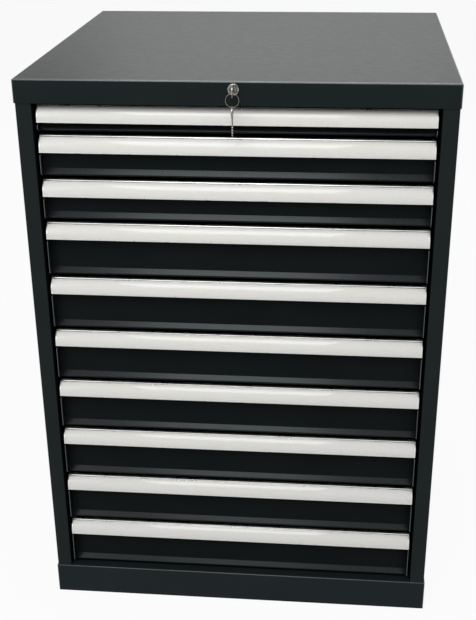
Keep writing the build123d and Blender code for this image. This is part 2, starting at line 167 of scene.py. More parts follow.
def arcPoints(centre, radius, startAngle, endAngle, steps):
    points = []
    for index in range(steps + 1):
        angle = startAngle + (endAngle - startAngle) * index / steps
        points.append((centre[0] - radius * math.cos(angle), centre[1] + radius * math.sin(angle)))
    return points


def foldedOutline(line, wall, bends, steps=4):  # section of folded sheet, its metal left of the line
    def leftOf(a, b):
        length = math.dist(a, b)
        return (a[1] - b[1]) / length, (b[0] - a[0]) / length
    side = leftOf(line[0], line[1])
    near = [line[0]]
    far = [(line[0][0] + side[0] * wall, line[0][1] + side[1] * wall)]
    for a, b, c, bend in zip(line, line[1:], line[2:], bends):
        first, second = leftOf(a, b), leftOf(b, c)
        turn = math.atan2(first[0] * second[1] - first[1] * second[0], first[0] * second[0] + first[1] * second[1])
        sign = 1 if turn > 0 else -1
        radius = bend + wall if turn > 0 else bend
        run = radius * math.tan(abs(turn) / 2)
        start = (b[0] - first[1] * run, b[1] + first[0] * run)
        centre = (start[0] + sign * first[0] * radius, start[1] + sign * first[1] * radius)
        for index in range(steps + 1):
            cosine, sine = math.cos(turn * index / steps), math.sin(turn * index / steps)
            out = (-sign * (first[0] * cosine - first[1] * sine), -sign * (first[0] * sine + first[1] * cosine))
            near.append((centre[0] + out[0] * radius, centre[1] + out[1] * radius))
            inner = radius - sign * wall
            far.append((centre[0] + out[0] * inner, centre[1] + out[1] * inner))
    side = leftOf(line[-2], line[-1])
    near.append(line[-1])
    far.append((line[-1][0] + side[0] * wall, line[-1][1] + side[1] * wall))
    return near + far[::-1]


def inMetres(corners, across=1):  # across -1 draws the left side's twin
    return [(across * a * mm, b * mm) for a, b in corners]


print("stage: camera, floor and light")

camera = {
    "place": (0.18647, -2.15674, 1.37355),
    "turn": (1.10974183, 0.00881155, 0.09752962),
    "focalPixels": 1140.03,
    "centre": (237.127, 384.893),
    "frame": (476, 620),
    "sensor": 36,
}
bpy.ops.object.camera_add(location=camera["place"], rotation=camera["turn"])
viewCamera = bpy.context.object
viewCamera.data.sensor_fit = "VERTICAL"
viewCamera.data.sensor_height = camera["sensor"]
viewCamera.data.lens = camera["focalPixels"] * camera["sensor"] / camera["frame"][1]
viewCamera.data.shift_x = (camera["frame"][0] / 2 - camera["centre"][0]) / camera["frame"][1]
viewCamera.data.shift_y = (camera["centre"][1] - camera["frame"][1] / 2) / camera["frame"][1]
viewCamera.data.clip_start = 0.05
viewCamera.data.clip_end = 60
bpy.context.scene.camera = viewCamera
bpy.context.scene.view_settings.view_transform = "Standard"

stage = {
    "floorSize": 30,
    "floorColour": (0.86, 0.86, 0.86, 1),
    "floorWhiteShare": 0.93,
    "worldColour": (0.96, 0.98, 1.0, 1),
    "worldFill": 0.25,
}


def nodeTree(material):
    material.use_nodes = True
    tree = material.node_tree
    tree.nodes.clear()
    return tree


def addNode(tree, kind, **values):
    node = tree.nodes.new(kind)
    for key, value in values.items():
        setattr(node, key, value)
    return node


def seenDirectly(tree):  # one where the camera, a reflection or a clear piece looks at the surface
    path = addNode(tree, "ShaderNodeLightPath")
    first = addNode(tree, "ShaderNodeMath", operation="MAXIMUM")
    second = addNode(tree, "ShaderNodeMath", operation="MAXIMUM")
    tree.links.new(path.outputs["Is Camera Ray"], first.inputs[0])
    tree.links.new(path.outputs["Is Glossy Ray"], first.inputs[1])
    tree.links.new(first.outputs[0], second.inputs[0])
    tree.links.new(path.outputs["Is Transmission Ray"], second.inputs[1])
    return second


def whiteWhenSeen(tree, plain, white, share, outputKind):
    seen = seenDirectly(tree)
    part = addNode(tree, "ShaderNodeMath", operation="MULTIPLY")
    part.inputs[1].default_value = share
    mix = addNode(tree, "ShaderNodeMixShader")
    output = addNode(tree, outputKind)
    tree.links.new(seen.outputs[0], part.inputs[0])
    tree.links.new(part.outputs[0], mix.inputs[0])
    tree.links.new(plain.outputs[0], mix.inputs[1])
    tree.links.new(white.outputs[0], mix.inputs[2])
    tree.links.new(mix.outputs[0], output.inputs["Surface"])


world = bpy.data.worlds.new("studioWorld")
bpy.context.scene.world = world
worldTree = nodeTree(world)
fill = addNode(worldTree, "ShaderNodeBackground")
fill.inputs["Color"].default_value = stage["worldColour"]
fill.inputs["Strength"].default_value = stage["worldFill"]
backdrop = addNode(worldTree, "ShaderNodeBackground")
backdrop.inputs["Color"].default_value = (1, 1, 1, 1)
backdrop.inputs["Strength"].default_value = 1
whiteWhenSeen(worldTree, fill, backdrop, 1, "ShaderNodeOutputWorld")

floorMaterial = bpy.data.materials.new("paleFloor")
floorTree = nodeTree(floorMaterial)
floorPlain = addNode(floorTree, "ShaderNodeBsdfDiffuse")
floorPlain.inputs["Color"].default_value = stage["floorColour"]
floorWhite = addNode(floorTree, "ShaderNodeEmission")
floorWhite.inputs["Color"].default_value = (1, 1, 1, 1)
floorWhite.inputs["Strength"].default_value = 1
whiteWhenSeen(floorTree, floorPlain, floorWhite, stage["floorWhiteShare"], "ShaderNodeOutputMaterial")
clearSelection()
bpy.ops.mesh.primitive_plane_add(size=stage["floorSize"], location=(0, 0, 0))
floor = bpy.context.object
floor.name = "studioFloor"
floor.data.materials.append(floorMaterial)

lamps = [  # place, aim, width and height in metres, watts, colour
    ((-0.32, -2.1, 2.8), (-0.32, -1.25, 0.0), 2.1, 1.9, 55, (0.99, 0.995, 0.99)),
    ((-2.8, -2.6, 1.5), (0, -0.2, 0.5), 1.4, 2.0, 12, (0.97, 0.985, 1)),
    ((2.8, -2.4, 1.5), (0, -0.2, 0.5), 1.4, 2.0, 11, (0.99, 0.99, 0.98)),
    ((0.0, 2.8, 2.6), (0, 0.2, 0.6), 2.2, 1.6, 30, (1, 1, 1)),
]
for number, (place, aim, width, height, watts, colour) in enumerate(lamps):
    bpy.ops.object.light_add(type="AREA", location=place)
    lamp = bpy.context.object
    lamp.name = f"softLamp{number}"
    lamp.rotation_euler = (Vector(aim) - Vector(place)).to_track_quat("-Z", "Y").to_euler()
    lamp.data.shape = "RECTANGLE"
    lamp.data.size = width
    lamp.data.size_y = height
    lamp.data.energy = watts
    lamp.data.color = colour

print("stage: materials")


def surface(name, colour, roughness, metallic=0.0, **sockets):
    material = bpy.data.materials.new(name)
    tree = nodeTree(material)
    shader = addNode(tree, "ShaderNodeBsdfPrincipled")
    shader.inputs["Base Color"].default_value = (*colour, 1)
    shader.inputs["Roughness"].default_value = roughness
    shader.inputs["Metallic"].default_value = metallic
    for socket, value in sockets.items():
        shader.inputs[socket.replace("_", " ")].default_value = value
    output = addNode(tree, "ShaderNodeOutputMaterial")
    tree.links.new(shader.outputs[0], output.inputs["Surface"])
    return material, tree, shader


def pattern(tree, kind, stretch, scale, **values):  # a texture on the piece's own coordinates
    coordinates = addNode(tree, "ShaderNodeTexCoord")
    mapping = addNode(tree, "ShaderNodeMapping")
    mapping.inputs["Scale"].default_value = stretch
    tree.links.new(coordinates.outputs["Object"], mapping.inputs["Vector"])
    texture = addNode(tree, kind)
    texture.inputs["Scale"].default_value = scale
    for socket, value in values.items():
        if socket in texture.inputs:
            texture.inputs[socket].default_value = value
        else:
            setattr(texture, socket, value)
    tree.links.new(mapping.outputs[0], texture.inputs["Vector"])
    return texture


def tint(tree, shader, texture, dark, light, low=0.3, high=0.7):
    ramp = addNode(tree, "ShaderNodeValToRGB")
    ramp.color_ramp.elements[0].position = low
    ramp.color_ramp.elements[0].color = (*dark, 1)
    ramp.color_ramp.elements[1].position = high
    ramp.color_ramp.elements[1].color = (*light, 1)
    tree.links.new(texture.outputs[0], ramp.inputs[0])
    tree.links.new(ramp.outputs[0], shader.inputs["Base Color"])


def vary(tree, shader, texture, low, high):
    spread = addNode(tree, "ShaderNodeMapRange")
    spread.inputs["From Min"].default_value = 0.25
    spread.inputs["From Max"].default_value = 0.75
    spread.inputs["To Min"].default_value = low
    spread.inputs["To Max"].default_value = high
    tree.links.new(texture.outputs[0], spread.inputs["Value"])
    tree.links.new(spread.outputs[0], shader.inputs["Roughness"])


def relief(tree, shader, textures):  # (texture, strength, depth) one over the other
    last = None
    for texture, strength, depth in textures:
        bump = addNode(tree, "ShaderNodeBump")
        bump.inputs["Strength"].default_value = strength
        bump.inputs["Distance"].default_value = depth
        tree.links.new(texture.outputs[0], bump.inputs["Height"])
        if last:
            tree.links.new(last.outputs[0], bump.inputs["Normal"])
        last = bump
    tree.links.new(last.outputs[0], shader.inputs["Normal"])


def powderCoat(name, dark, light, roughness, specular, peelDepth=0.22):
    material, tree, shader = surface(
        name, light, roughness, Specular_IOR_Level=specular, Specular_Tint=(0.88, 0.99, 1, 1))
    cloud = pattern(tree, "ShaderNodeTexNoise", (1, 1, 1), 9, Detail=3, Roughness=0.55)
    tint(tree, shader, cloud, dark, light)
    patches = pattern(tree, "ShaderNodeTexNoise", (1, 1, 1), 60, Detail=4, Roughness=0.6)
    vary(tree, shader, patches, roughness - 0.02, roughness + 0.03)
    peel = pattern(tree, "ShaderNodeTexNoise", (1, 1, 1), 900, Detail=2, Roughness=0.5)
    grain = pattern(tree, "ShaderNodeTexVoronoi", (1, 1, 1), 2400, feature="SMOOTH_F1")
    relief(tree, shader, [(peel, peelDepth, 0.00012), (grain, peelDepth / 2, 0.00005)])
    return material


def drawnMetal(name, dark, light, roughness, stretch):
    material, tree, shader = surface(name, light, roughness, metallic=1.0)
    lines = pattern(tree, "ShaderNodeTexNoise", stretch, 1.0, Detail=3, Roughness=0.6)
    tint(tree, shader, lines, dark, light)
    cloud = pattern(tree, "ShaderNodeTexNoise", (1, 1, 1), 45, Detail=3, Roughness=0.5)
    vary(tree, shader, cloud, roughness - 0.06, roughness + 0.08)
    finer = tuple(value * 2.2 for value in stretch)
    hairs = pattern(tree, "ShaderNodeTexNoise", finer, 1.0, Detail=2, Roughness=0.7)
    relief(tree, shader, [(lines, 0.15, 0.00003), (hairs, 0.15, 0.00002)])
    return material


def mouldedPlastic(name, dark, light, roughness):
    material, tree, shader = surface(name, light, roughness)
    cloud = pattern(tree, "ShaderNodeTexNoise", (1, 1, 1), 220, Detail=3, Roughness=0.5)
    tint(tree, shader, cloud, dark, light)
    grain = pattern(tree, "ShaderNodeTexVoronoi", (1, 1, 1), 1900, feature="SMOOTH_F1")
    vary(tree, shader, cloud, roughness - 0.05, roughness + 0.06)
    relief(tree, shader, [(grain, 0.25, 0.00006)])
    return material


def coveredPaper(name):  # pale insert under a clear glossy cover
    material, tree, shader = surface(
        name, (0.75, 0.73, 0.69), 0.75, Coat_Weight=0.85, Coat_Roughness=0.06, Coat_IOR=1.5)
    fibres = pattern(tree, "ShaderNodeTexNoise", (0.6, 1, 1), 700, Detail=4, Roughness=0.7)
    tint(tree, shader, fibres, (0.745, 0.73, 0.69), (0.8, 0.785, 0.745), 0.35, 0.65)
    cloud = pattern(tree, "ShaderNodeTexNoise", (0.4, 1, 1), 14, Detail=2, Roughness=0.5)
    vary(tree, shader, cloud, 0.68, 0.82)
    wave = addNode(tree, "ShaderNodeBump")
    wave.inputs["Strength"].default_value = 0.25
    wave.inputs["Distance"].default_value = 0.0006
    long = pattern(tree, "ShaderNodeTexNoise", (0.5, 2.5, 2.5), 16, Detail=2, Roughness=0.45)
    tree.links.new(long.outputs[0], wave.inputs["Height"])
    tree.links.new(wave.outputs[0], shader.inputs["Coat Normal"])
    return material


def plated(name, dark, light, roughness):
    material, tree, shader = surface(name, light, roughness, metallic=1.0)
    cloud = pattern(tree, "ShaderNodeTexNoise", (1, 1, 1), 320, Detail=4, Roughness=0.6)
    tint(tree, shader, cloud, dark, light)
    vary(tree, shader, cloud, roughness - 0.05, roughness + 0.09)
    scuffs = pattern(tree, "ShaderNodeTexNoise", (6, 1, 14), 260, Detail=3, Roughness=0.75)
    relief(tree, shader, [(scuffs, 0.12, 0.00003)])
    return material


finishes = {
    "cover": powderCoat("coverPowderCoat", (0.0086, 0.0126, 0.013), (0.0104, 0.0148, 0.015), 0.42, 0.065, 0.1),
    "body": powderCoat("bodyPowderCoat", (0.0094, 0.0128, 0.0132), (0.0114, 0.0152, 0.0154), 0.5, 0.08),
    # foot: the carcass paint made lighter for the plinth, a painted reflection of the pale floor
    "foot": powderCoat("footPaintedReflection", (0.011, 0.0152, 0.0175), (0.013, 0.0178, 0.02), 0.5, 0.08),
    # return: a near-black coat, painted shade on the front returns, top rails and uprights seen in the gaps
    "return": powderCoat("returnPaintedShade", (0.003, 0.0036, 0.0038), (0.004, 0.0046, 0.0048), 0.8, 0.0),
    "drawer": powderCoat("drawerPowderCoat", (0.0068, 0.0086, 0.0092), (0.0082, 0.0102, 0.0108), 0.3, 0.022, 0.06),
    "lip": powderCoat("lipPowderCoat", (0.005, 0.0062, 0.0065), (0.0066, 0.0078, 0.008), 0.28, 0.23, 0.06),
    # edge: a much lighter coat, a painted highlight along the cover's front top edge and the cheeks' front edges
    "edge": powderCoat("edgePaintedHighlight", (0.05, 0.053, 0.054), (0.08, 0.084, 0.085), 0.25, 0.75, 0.04),
    # fold: a lighter coat, a painted highlight on the rounded bends
    "foldHighlight": powderCoat("foldPaintedHighlight", (0.02, 0.022, 0.0225), (0.03, 0.033, 0.034), 0.3, 0.5, 0.06),
    "grip": drawnMetal("anodisedGrip", (0.66, 0.66, 0.65), (0.78, 0.78, 0.77), 0.3, (3, 700, 700)),
    "label": coveredPaper("coveredInsert"),
    "runner": drawnMetal("rolledRunner", (0.42, 0.42, 0.41), (0.58, 0.58, 0.57), 0.34, (500, 4, 500)),
    "rubber": mouldedPlastic("blackRubber", (0.012, 0.012, 0.012), (0.022, 0.022, 0.022), 0.75),
    "plastic": mouldedPlastic("guidePlastic", (0.02, 0.02, 0.021), (0.035, 0.035, 0.036), 0.5),
    "chrome": plated("lockChrome", (0.05, 0.05, 0.047), (0.42, 0.42, 0.4), 0.16),
    "lockSteel": drawnMetal("lockSteel", (0.38, 0.38, 0.37), (0.52, 0.52, 0.5), 0.38, (300, 300, 6)),
    "key": plated("keyNickel", (0.07, 0.062, 0.05), (0.36, 0.335, 0.29), 0.22),
}
# top rails and slotted uprights take the near-black coat, painted shade in the gaps
finishOf = {
    "top_cover": "cover", "left_side_panel": "body", "right_side_panel": "body", "back_panel": "body",
    "floor_pan": "body", "plinth": "foot", "top_rails": "return", "slotted_uprights": "return",
    "cabinet_runners": "runner", "closing_buffers": "rubber", "lock_bar_guides": "plastic",
    "lock_housing": "chrome", "lock_plug": "chrome", "lock_nut": "chrome", "lock_cam": "lockSteel",
    "cam_screw": "lockSteel", "lock_bar": "lockSteel", "key": "key", "key_ring": "key", "spare_key": "key",
}
for number in drawerNumbers:
    finishOf[f"drawer_{number}_tray"] = "drawer"
    finishOf[f"drawer_{number}_grip"] = "grip"
    finishOf[f"drawer_{number}_label"] = "label"
    finishOf[f"drawer_{number}_middle_runners"] = "runner"


def dress(piece, finish):
    piece.data.materials.clear()
    piece.data.materials.append(finishes[finish])
    return piece


def dressFolds(piece, test, finish="foldHighlight"):  # second finish on faces picked by a test, by default a lighter coat as a painted highlight where the sheet turns
    piece.data.materials.append(finishes[finish])
    for face in piece.data.polygons:
        if test(face):
            face.material_index = len(piece.data.materials) - 1
    return piece


for node, finish in finishOf.items():
    dress(nodes[node], finish)

print("stage: grip strips and labels")

faceFront = -342.55
gripStrip = {  # measured back from its own face and up from the top of a front
    "half": 324.05, "rise": -0.5, "radius": 20.3, "centreDrop": 20.5, "foot": -28.0, "wall": 2.6,
    "flange": 1.8, "leg": 1.3, "legDrop": 7.6, "pocketDrop": 5.2, "slotNear": 16.9, "slotFar": 18.3,
    "beadDrop": 1.6, "beadAngle": 5.0, "recess": 1.1, "footBead": 1.8, "footEdge": 0.6,
    "nose": 1.5, "crownBack": 0.25, "crownUp": 0.28, "edge": 0.18,
    "beadSteps": 4, "seatSteps": 16, "innerSteps": 14,
}
labelStrip = {"half": 322.45, "thickness": 0.8, "play": 0.1, "playAngle": 0.4, "edge": 0.12, "steps": 14}


def gripOutline(values):
    centre = (values["radius"], -values["centreDrop"])
    faceTop = math.asin((values["centreDrop"] + values["rise"] - values["beadDrop"]) / values["radius"])
    beadFoot = faceTop - math.radians(values["beadAngle"])
    underside = values["rise"] - values["flange"]
    pocket = math.asin((values["centreDrop"] - values["pocketDrop"]) / (values["radius"] - values["wall"]))
    nose = arcPoints(centre, values["radius"], faceTop, faceTop, 1)[0]
    top = (nose[0] + values["nose"], values["rise"])
    middle = ((nose[0] + top[0]) / 2 - values["crownBack"], (nose[1] + top[1]) / 2 + values["crownUp"])
    foot = values["foot"]
    corners = [(values["slotFar"] + values["leg"], values["rise"]), top, middle]
    corners += arcPoints(centre, values["radius"], faceTop, beadFoot, values["beadSteps"])
    corners += arcPoints(centre, values["radius"] - values["recess"], beadFoot, 0, values["seatSteps"])
    corners += [
        (values["recess"], foot + values["footBead"]),
        (0, foot + values["footBead"]),
        (0, foot + values["footEdge"]),
        (values["footEdge"], foot),
        (values["wall"], foot),
    ]
    corners += arcPoints(centre, values["radius"] - values["wall"], 0, pocket, values["innerSteps"])
    corners += [
        (values["slotNear"] - values["leg"], underside),
        (values["slotNear"] - values["leg"], -values["legDrop"]),
        (values["slotNear"], -values["legDrop"]),
        (values["slotNear"], underside),
        (values["slotFar"], underside),
        (values["slotFar"], -values["legDrop"]),
        (values["slotFar"] + values["leg"], -values["legDrop"]),
    ]
    return corners


def labelOutline(grip, label):
    centre = (grip["radius"], -grip["centreDrop"])
    faceTop = math.asin((grip["centreDrop"] + grip["rise"] - grip["beadDrop"]) / grip["radius"])
    top = faceTop - math.radians(grip["beadAngle"] + label["playAngle"])
    seat = grip["radius"] - grip["recess"]
    foot = grip["foot"] + grip["footBead"] + label["play"]
    corners = arcPoints(centre, seat + label["thickness"], top, 0, label["steps"])
    corners += [(grip["recess"] - label["thickness"], foot), (grip["recess"], foot)]
    return corners + arcPoints(centre, seat, 0, top, label["steps"])


def inPlace(corners, head):
    return [((faceFront + depth) * mm, (head + height) * mm) for depth, height in corners]


def frontHead(number):  # height of the top line of one front, from its grip strip
    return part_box(f"drawer_{number}_grip")[1].z / mm - gripStrip["rise"]


firstHead = frontHead("01")
half = gripStrip["half"] * mm
gripModel = drawSection(inPlace(gripOutline(gripStrip), firstHead), "X", -half, half)
bevelEdges(gripModel, gripStrip["edge"] * mm, 2, 40)
settle(gripModel, "gripModel", 30)
dress(gripModel, "grip")
half = labelStrip["half"] * mm
labelModel = drawSection(inPlace(labelOutline(gripStrip, labelStrip), firstHead), "X", -half, half)
bevelEdges(labelModel, labelStrip["edge"] * mm, 2, 50)
settle(labelModel, "labelModel", 30)
dress(labelModel, "label")
for number in drawerNumbers:
    drop = (0, 0, (frontHead(number) - firstHead) * mm)
    for model, kind in ((gripModel, "grip"), (labelModel, "label")):
        strip = copyOf(model, drop, f"{kind}Strip{number}")
        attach(strip, f"drawer_{number}")
        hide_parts(f"drawer_{number}_{kind}")
bpy.data.objects.remove(gripModel)
bpy.data.objects.remove(labelModel)

print("stage: drawer boxes")

drawerBox = {
    "panel": -325.55, "back": 302.95, "half": 312.0, "frontHalf": 322.85, "cheekOut": 324.05,
    "panelDrop": 2.3, "rimDrop": 12.0, "lipTop": 17.6, "lipEdge": 9.6, "lipOut": -331.95, "foot": 6.4,
    "wall": 1.2, "bend": 0.9, "frontBends": (1.6, 1.2, 0.9), "footReturn": 2.0, "frontEdge": 0.15,
    "hem": 2.5, "hemBend": 0.03, "hemDepth": 7.0, "shellLift": 0.05, "seam": 0.1, "endLift": 0.2,
    "cheekShoulder": -334.15, "cheekOuter": -341.55, "cheekToe": -333.95, "cheekTop": 8.0,
    "cheekStep": 29.8, "cheekSlope": 3.5, "cheekCorner": 2.4, "cheekRise": 5.0, "cheekEdge": 0.32,
    "shoulderAngle": 64, "shoulderShare": 0.7, "toeAngle": -34, "toeShare": 0.45,
    "slotPitch": 25.0, "slotWidth": 2.0, "slotCount": 23, "slotTop": 12.0, "slotFoot": 5.0, "slotPast": 3,
    "catchOut": 323.5, "catchNear": -310.45, "catchFar": -301.45, "catchFoot": 35.0, "catchHeight": 3.0,
    "catchNose": 1.2, "catchTaper": (3, 4), "catchEdge": 0.3, "lipFacing": 0.2, "cheekFacing": 0.97,
}
runner = {
    "memberIn": 312.0, "memberOut": 320.0, "memberLow": 14.0, "memberHigh": 28.0, "wall": 1.2, "bend": 0.7,
    "near": -300.45, "far": 299.55, "centre": 21.0, "middleIn": 314.0, "middleOut": 323.2, "middleHalf": 9.8,
    "middleNear": -299.45, "edge": 0.2, "cageSide": 315.2, "outerCage": (6.0, -0.45, 299.55, 9.85, 11.25),
    "innerCage": (4.0, -299.45, 0.55, 7.55, 8.55), "cageEdge": 0.15,
    "ballPitch": 24.0, "ballStart": 6, "ballCount": 12, "ballRadius": 1.25, "ballSquash": 0.78,
    "rivets": (-262.0, -90.0, 90.0, 262.0), "rivetRadius": 2.6, "rivetHigh": 0.9, "rivetSides": 12,
    "rivetWaist": 0.86, "rivetCrown": 0.6, "rivetSink": 0.02,
}


def cheekOutline(box, foot, head):
    corner = box["cheekCorner"]
    step, low = head - box["cheekStep"], foot + box["foot"]
    outer = box["cheekOuter"]
    points = [
        (box["panel"] + box["wall"], low), (box["panel"] + box["wall"], head - box["cheekTop"]),
        (box["cheekShoulder"], head - box["cheekTop"]), (box["cheekShoulder"], step),
    ]
    upper = (outer + corner, step - box["cheekSlope"] - corner * box["shoulderShare"])
    lower = (outer + corner, low + box["cheekRise"] + corner * box["toeShare"])
    points += arcPoints(upper, corner, math.radians(box["shoulderAngle"]), 0, 4)
    points += arcPoints(lower, corner, 0, math.radians(box["toeAngle"]), 3)
    return points + [(box["cheekToe"], low)]


def rivetHead(place, values):  # low round head, standing in from a wall
    clearSelection()
    bpy.ops.mesh.primitive_circle_add(
        vertices=values["rivetSides"], radius=values["rivetRadius"] * mm, fill_type="NGON",
        location=place, rotation=(0, math.pi / 2, 0))
    head = bpy.context.object
    editAll(head)
    for share in (values["rivetWaist"], values["rivetCrown"]):
        bpy.ops.mesh.extrude_region_move(TRANSFORM_OT_translate={"value": (-values["rivetHigh"] * mm * 0.5, 0, 0)})
        bpy.ops.transform.resize(value=(1, share, share))
    bpy.ops.mesh.select_all(action="SELECT")
    bpy.ops.mesh.normals_make_consistent(inside=False)
    endEdit()
    return head


def makeBox(box, foot, head, name):  # painted drawer: folded front, cheeks, hemmed box, slots, catch
    wall, bend, hem = box["wall"], box["bend"], box["hem"]
    low, rim, half = foot + box["foot"], head - box["rimDrop"], box["half"]
    inner = box["panel"] + wall
    hemFoot = rim - box["hemDepth"]
    frontLine = [
        (box["panel"], head - box["panelDrop"]), (box["panel"], foot + box["lipTop"]),
        (box["lipOut"], foot + box["lipEdge"]), (box["lipOut"], low), (inner + box["footReturn"], low),
    ]
    frontHalf = box["frontHalf"] * mm
    front = drawSection(inMetres(foldedOutline(frontLine, wall, box["frontBends"])), "X", -frontHalf, frontHalf)
    pieces = [dress(bevelEdges(front, box["frontEdge"] * mm, 2, 50), "drawer")]
    lip, cheekFlat = box["lipFacing"], box["cheekFacing"]
    dressFolds(front, lambda face: face.normal.z > lip and face.normal.y < -lip, "lip")
    for start, end in ((box["frontHalf"], box["cheekOut"]), (-box["cheekOut"], -box["frontHalf"])):
        cheek = drawSection(inMetres(cheekOutline(box, foot, head)), "X", start * mm, end * mm)
        dress(bevelEdges(cheek, box["cheekEdge"] * mm, 3, 45), "drawer")
        # the cheeks' front edges take the much lighter edge coat, a painted highlight
        pieces.append(dressFolds(
            cheek, lambda face: abs(face.normal.x) < cheekFlat and face.normal.y < -lip, "edge"))
    floorLine = low + box["shellLift"]
    shellLine = [
        (-half + hem, hemFoot), (-half + hem, rim), (-half, rim), (-half, floorLine),
        (half, floorLine), (half, rim), (half - hem, rim), (half - hem, hemFoot),
    ]
    folds = [box["hemBend"], box["hemBend"], bend, bend, box["hemBend"], box["hemBend"]]
    near, far = inner + box["seam"], box["back"]
    shell = drawSection(inMetres(foldedOutline(shellLine, wall, folds)), "Y", near * mm, far * mm)
    slots = []
    slotHigh, slotLow = rim - box["slotTop"], low + box["slotFoot"]
    middle = (inner + box["back"]) / 2
    for index in range(box["slotCount"]):
        place = middle + (index - (box["slotCount"] - 1) / 2) * box["slotPitch"]
        start, end = place - box["slotWidth"] / 2, place + box["slotWidth"] / 2
        outline = [(start, slotLow), (end, slotLow), (end, slotHigh), (start, slotHigh)]
        past = (half + box["slotPast"]) * mm
        slots.append(drawSection(inMetres(outline), "X", -past, past))
    pieces.append(dress(cutOut(shell, joinAll(slots)), "drawer"))
    wallHalf = (half - wall - box["seam"]) * mm
    for place, side in ((near, 1), (far - box["seam"], -1)):
        hemmed = place + side * hem
        endLine = [(place, low + wall + box["endLift"]), (place, rim), (hemmed, rim), (hemmed, hemFoot)]
        if side > 0:
            endLine.reverse()
        outline = foldedOutline(endLine, wall, [box["hemBend"], box["hemBend"]])
        pieces.append(dress(drawSection(inMetres(outline), "X", -wallHalf, wallHalf), "drawer"))
    out, nose, (taperIn, taperBack) = box["catchOut"], box["catchNose"], box["catchTaper"]
    catchTop = [
        (half, box["catchNear"]), (out - nose, box["catchNear"]), (out, box["catchNear"] + nose),
        (out, box["catchFar"] - taperBack), (out - taperIn, box["catchFar"]), (half, box["catchFar"]),
    ]
    catchFoot = foot + box["catchFoot"]
    catch = drawSection(inMetres(catchTop), "Z", catchFoot * mm, (catchFoot + box["catchHeight"]) * mm)
    pieces.append(dress(bevelEdges(catch, box["catchEdge"] * mm, 2, 40), "drawer"))
    inside = (half - wall - runner["rivetSink"]) * mm
    for place in runner["rivets"]:
        for side in (1, -1):
            head = rivetHead((inside, place * mm, (foot + runner["centre"]) * mm), runner)
            if side < 0:
                editAll(head)
                bpy.ops.transform.mirror(constraint_axis=(True, False, False), center_override=(0, 0, 0))
                bpy.ops.mesh.normals_make_consistent(inside=False)
                endEdit()
            pieces.append(dress(head, "drawer"))
    return settle(joinAll(pieces), name, 30)


def makeMembers(values, foot, name):  # drawer members of both runners
    pieces = []
    low, high = foot + values["memberLow"], foot + values["memberHigh"]
    line = [
        (values["memberOut"], high), (values["memberIn"], high),
        (values["memberIn"], low), (values["memberOut"], low),
    ]
    outline = foldedOutline(line, values["wall"], [values["bend"]] * 2)
    for across in (1, -1):
        member = drawSection(inMetres(outline, across), "Y", values["near"] * mm, values["far"] * mm)
        pieces.append(bevelEdges(member, values["edge"] * mm, 2, 50))
    return settle(joinAll(pieces), name, 30)


def makeMiddle(values, foot, name):  # middle members with their cages and balls
    centre = foot + values["centre"]
    low, high = centre - values["middleHalf"], centre + values["middleHalf"]
    line = [
        (values["middleIn"], low), (values["middleOut"], low),
        (values["middleOut"], high), (values["middleIn"], high),
    ]
    outline = foldedOutline(line, values["wall"], [values["bend"]] * 2)
    pieces = []
    for across in (1, -1):
        channel = drawSection(inMetres(outline, across), "Y", values["middleNear"] * mm, values["far"] * mm)
        pieces.append(bevelEdges(channel, values["edge"] * mm, 2, 50))
        for width, near, far, inside, outside in (values["outerCage"], values["innerCage"]):
            side = values["cageSide"]
            for sign in (1, -1):
                cage = [
                    (side, centre + sign * inside), (side + width, centre + sign * inside),
                    (side + width, centre + sign * outside), (side, centre + sign * outside),
                ]
                pieces.append(drawSection(inMetres(cage, across), "Y", near * mm, far * mm))
                bevelEdges(pieces[-1], values["cageEdge"] * mm, 1, 50)
                clearSelection()
                bpy.ops.mesh.primitive_ico_sphere_add(
                    subdivisions=1, radius=values["ballRadius"] * mm,
                    location=(across * (side + width / 2) * mm,
                              (near + values["ballPitch"] / 2 + values["ballStart"]) * mm,
                              (centre + sign * (inside + outside) / 2) * mm))
                ball = bpy.context.object
                editAll(ball)
                bpy.ops.transform.resize(value=(1, 1, values["ballSquash"]))
                endEdit()
                row = ball.modifiers.new("row", "ARRAY")
                row.use_relative_offset = False
                row.use_constant_offset = True
                row.constant_offset_displace = (0, values["ballPitch"] * mm, 0)
                row.count = values["ballCount"]
                takeUp(ball)
                bpy.ops.object.modifier_apply(modifier=row.name)
                bpy.ops.object.shade_smooth()
                pieces.append(ball)
    return settle(joinAll(pieces), name, 30)


models = {}
for number in drawerNumbers:
    head = frontHead(number)
    foot = round(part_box(f"drawer_{number}_tray")[0].z / mm - drawerBox["foot"], 3)
    tall = round(head - foot)
    if tall not in models:
        models[tall] = (foot, makeBox(drawerBox, foot, head, f"boxModel{tall}"))
    if "runner" not in models:
        models["runner"] = (foot, makeMembers(runner, foot, "memberModel"), makeMiddle(runner, foot, "middleModel"))
        dress(models["runner"][1], "runner")
        dress(models["runner"][2], "runner")
    box = copyOf(models[tall][1], (0, 0, (foot - models[tall][0]) * mm), f"drawerBox{number}")
    down = (0, 0, (foot - models["runner"][0]) * mm)
    members = copyOf(models["runner"][1], down, f"drawerRunners{number}")
    middles = copyOf(models["runner"][2], down, f"middleRunners{number}")
    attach(box, f"drawer_{number}")
    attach(members, f"drawer_{number}")
    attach(middles, f"runner_middle_{number}")
    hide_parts(f"drawer_{number}_tray")
    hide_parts(f"drawer_{number}_tray")
    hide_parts(f"drawer_{number}_middle_runners")
for kept in models.values():
    for model in kept[1:]:
        bpy.data.objects.remove(model)

print("stage: cover and plinth")

